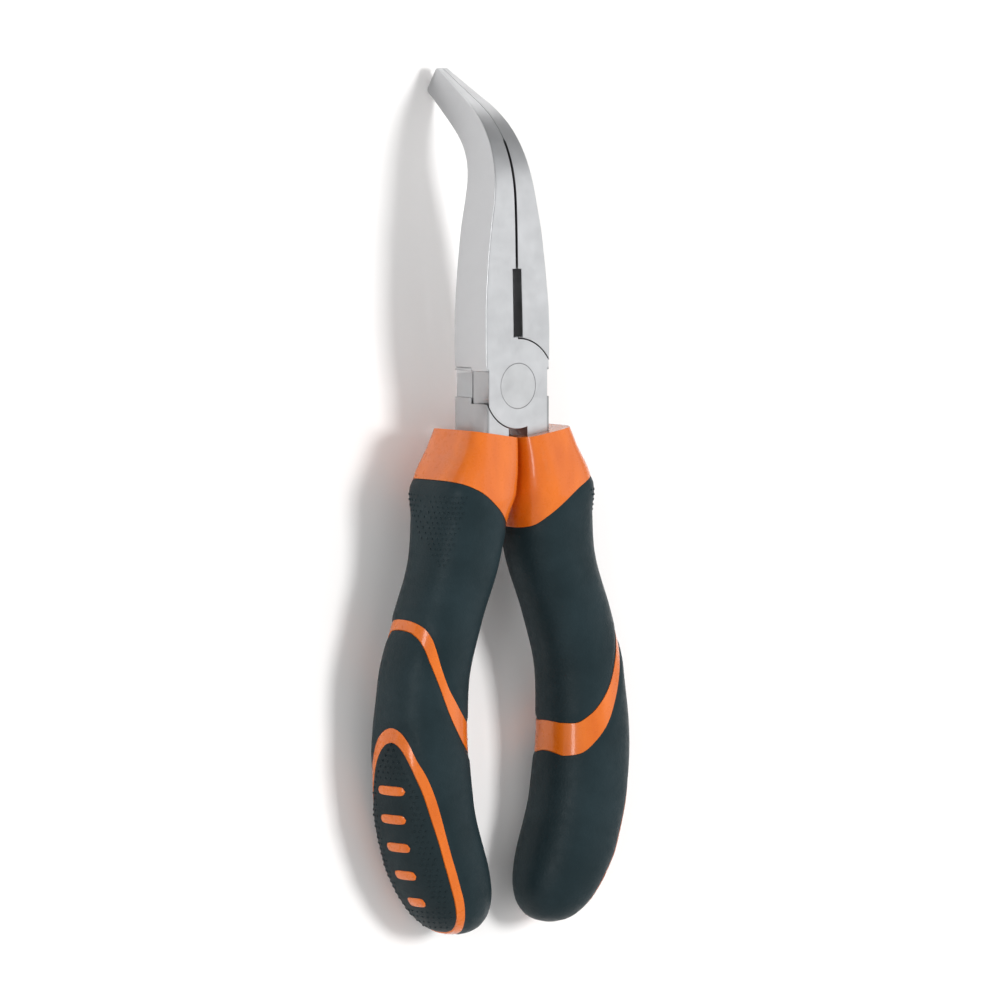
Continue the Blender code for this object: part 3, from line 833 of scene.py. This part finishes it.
def marks(side_name, side, turned_way, body):
    """Set plain raised bars across the end panel."""
    middle = turned_way * PANEL_TURN
    for index in range(MARK_COUNT):
        centre = MARK_TOP + (MARK_FOOT - MARK_TOP) * index / (MARK_COUNT - 1)
        reach = MARK_REACH * (1.0 - MARK_SHRINK * index)
        rings = []
        for i in range(2 * MARK_STEPS + 1):
            u = i / MARK_STEPS - 1
            end_round = (1 - abs(u) ** 6) ** 0.5 if abs(u) < 1 else MARK_END
            ring = []
            for k in range(MARK_POINTS):
                around = 2 * pi * k / MARK_POINTS
                height = centre + MARK_HALF_WIDTH * end_round * cos(around)
                sunk = MARK_SINK * (sin(around) < 0)
                lift = MARK_LIFT * end_round * max(sin(around), 0.0) ** 0.5 - sunk
                ring.append(skin_point(side, height, middle + u * reach, lift)[0])
            rings.append(ring)
        bar = solid(f"{side_name}_mark_{index + 1}", rings)
        finish_piece(bar, ORANGE, body, "hard_plastic")


def handle(side_name):
    """Make the hard core, the two soft grips and the end panel of one handle."""
    side, body = SIDES[side_name]
    turned_way = TURNED[side_name]
    slant = turned_way * np.tan(PANEL_TURN)
    edges, outlines = zones(side_name)
    core = solid(side_name + "_hard_core", handle_rings(side, ABOVE, BELOW, HARD_INSET))
    rim = placed("rim", core.data.copy())
    boolean(core, zone_cutter(side, [outlines["collar"], outlines["stripe"]]), 'INTERSECT')
    boolean(rim, zone_cutter(side, [outlines["rim"]], slant), 'INTERSECT')
    boolean(core, solid("inner", handle_rings(side, SOFT_TOP, BELOW, SOFT_THICKNESS)), 'UNION')
    boolean(core, rim, 'UNION')
    pocket = [[(x + (x - side * TANG_SIZE(y)[0]) * POCKET_ROOM, y, z * (1 + POCKET_ROOM)) for x, y, z in ring]
              for ring in tang_rings(side)]
    boolean(core, solid("pocket", pocket), 'DIFFERENCE')
    root_x, root_y = TANG_ROOT
    inner, outer, low = root_x - ROOT_ROOM, JOINT_HALF_WIDTH + ROOT_ROOM, root_y - ROOT_ROOM
    room = [(side * x, y) for x, y in ((inner, low), (outer, low), (outer, 0.0), (inner, 0.0))]
    depth = JOINT_THICKNESS / 2 + ROOT_ROOM
    boolean(core, plate("room", room, -depth, depth), 'DIFFERENCE')
    finish_piece(core, ORANGE, body, "hard_plastic", side_name + "_core")
    # zone, node, surface, slot, heights of the skin that the zone is cut from, slant, edges that roll down
    soft_parts = (
        ("upper", "upper_grip", RUBBER, "soft_grip", (-13.0, -68.0), 0.0, ("collar", "top")),
        ("lower", "lower_grip", RUBBER, "soft_grip", (-38.0, BELOW), 0.0, ("foot",)),
        ("panel", "end_panel", PANEL, "panel_grip", (-56.0, BELOW), slant, ("rim",)))
    for zone, node, surface, slot, (top, bottom), lean, lines in soft_parts:
        soft = solid(f"{side_name}_{node}_skin", handle_rings(side, top, bottom))
        roll_edges(soft, side, [edges[line] for line in lines], lean)
        if zone == "lower":
            roll_edges(soft, side, [edges["panel"]], slant)
        boolean(soft, zone_cutter(side, [outlines[zone]], lean), 'INTERSECT')
        if zone == "lower":
            boolean(soft, zone_cutter(side, [outlines["whole_panel"]], slant), 'DIFFERENCE')
        hollow = solid("hollow", handle_rings(side, top + OVERSHOOT, bottom, SOFT_THICKNESS - SKIN_GAP))
        boolean(soft, hollow, 'DIFFERENCE')
        finish_piece(soft, surface, body, slot, f"{side_name}_{node}")
    panel_pips = pips(side_name + "_panel_pips", side, panel_places(turned_way))
    finish_piece(panel_pips, PANEL, body, "panel_grip")
    thumb_pips = pips(side_name + "_thumb_pips", side, thumb_places(turned_way))
    finish_piece(thumb_pips, RUBBER, body, "soft_grip")
    marks(side_name, side, turned_way, body)


# ---------------------------------------------------------------- stage, light and camera

VIEW_TURN = radians(40.0)      # the camera stands this far round the tool's long axis, to its left
VIEW_LIFT = radians(4.5)       # and this far towards the nose
VIEW_DISTANCE = 930.0
FIELD = 184.0                  # width of the view at the tool, in millimetres
AIM = (-0.5, -21.2, 0.0)
SENSOR = 36.0
CLIP = (0.05, 20.0)            # in metres, like all that follows
FLOOR_REACH = 4.0
FLOOR_DROP = 0.0002            # the floor lies just under the tool
# name, place, target, length, breadth, power in watts
LIGHTS = (("key", (0.26, 0.03, 0.85), (0.0, 0.0, 0.0), 0.22, 0.22, 4.6),
          ("strip", (-0.62, 0.05, 0.52), (0.0, -0.02, 0.0), 0.5, 0.14, 1.5),
          ("softbox", (0.95, 0.0, 0.80), (0.0, 0.0, 0.0), 0.8, 0.8, 1.1))
SKY = (("From Min", 0.2), ("From Max", 0.8), ("To Min", 0.61), ("To Max", 0.29))   # dimmer beyond the nose


def camera():
    """Set the camera in front of the tool, off to its left and a little towards the nose."""
    data = bpy.data.cameras.new("view")
    data.sensor_width = SENSOR
    data.lens = SENSOR * VIEW_DISTANCE / FIELD
    data.clip_start, data.clip_end = CLIP
    seen = placed("view", data)
    back = Vector((-sin(VIEW_TURN) * cos(VIEW_LIFT), sin(VIEW_LIFT), cos(VIEW_TURN) * cos(VIEW_LIFT)))
    up = Vector((0.0, 1.0, 0.0))
    up = (up - back * up.dot(back)).normalized()
    turn = TO_ROW.to_3x3().normalized() @ Matrix((up.cross(back), up, back)).transposed()
    seen.matrix_world = Matrix.Translation(TO_ROW @ (Vector(AIM) + back * VIEW_DISTANCE)) @ turn.to_4x4()
    bpy.context.scene.camera = seen


def area_light(name, place, aim, length, breadth, power):
    """Add a soft light."""
    data = bpy.data.lights.new(name, 'AREA')
    data.shape = 'RECTANGLE'
    data.size = length
    data.size_y = breadth
    data.energy = power
    lamp = placed(name, data)
    lamp.location = place
    lamp.rotation_mode = 'QUATERNION'
    lamp.rotation_quaternion = (Vector(aim) - Vector(place)).to_track_quat('-Z', 'Y')
    return lamp


def studio():
    """Lay a pale floor and light it softly, mostly from the right."""
    bm = bmesh.new()
    bmesh.ops.create_grid(bm, x_segments=4, y_segments=4, size=FLOOR_REACH)
    floor = meshed("floor", bm)
    floor.location.z = -FLOOR_DROP
    paper = Surface("white_paper", (0.93, 0.915, 0.905), 0.9)
    paper.blend_color(paper.noise(3.0), (0.925, 0.912, 0.904), (0.94, 0.928, 0.92))
    floor.data.materials.append(paper.material)
    world = bpy.data.worlds.new("studio")
    world.use_nodes = True
    nodes, links = world.node_tree.nodes, world.node_tree.links
    nodes["Background"].inputs["Color"].default_value = (1.0, 1.0, 1.0, 1.0)
    parts = nodes.new("ShaderNodeSeparateXYZ")
    links.new(nodes.new("ShaderNodeTexCoord").outputs["Generated"], parts.inputs["Vector"])
    sky = nodes.new("ShaderNodeMapRange")
    for socket, number in SKY:
        sky.inputs[socket].default_value = number
    links.new(parts.outputs["Y"], sky.inputs["Value"])
    links.new(sky.outputs["Result"], nodes["Background"].inputs["Strength"])
    bpy.context.scene.world = world
    lamps = [area_light(*light) for light in LIGHTS]
    lamps[0].visible_glossy = False     # the steel doesn't mirror the small key light
    bpy.context.scene.view_settings.view_transform = 'Standard'


camera()
studio()
forged_half("front_half", -1, 1, FRONT_BOSS_RADIUS, REAR_BOSS_RADIUS, FRONT_BODY)
forged_half("rear_half", 1, -1, REAR_BOSS_RADIUS, FRONT_BOSS_RADIUS, REAR_BODY)
pivot_rivet()
for side_name in SIDES:
    handle(side_name)
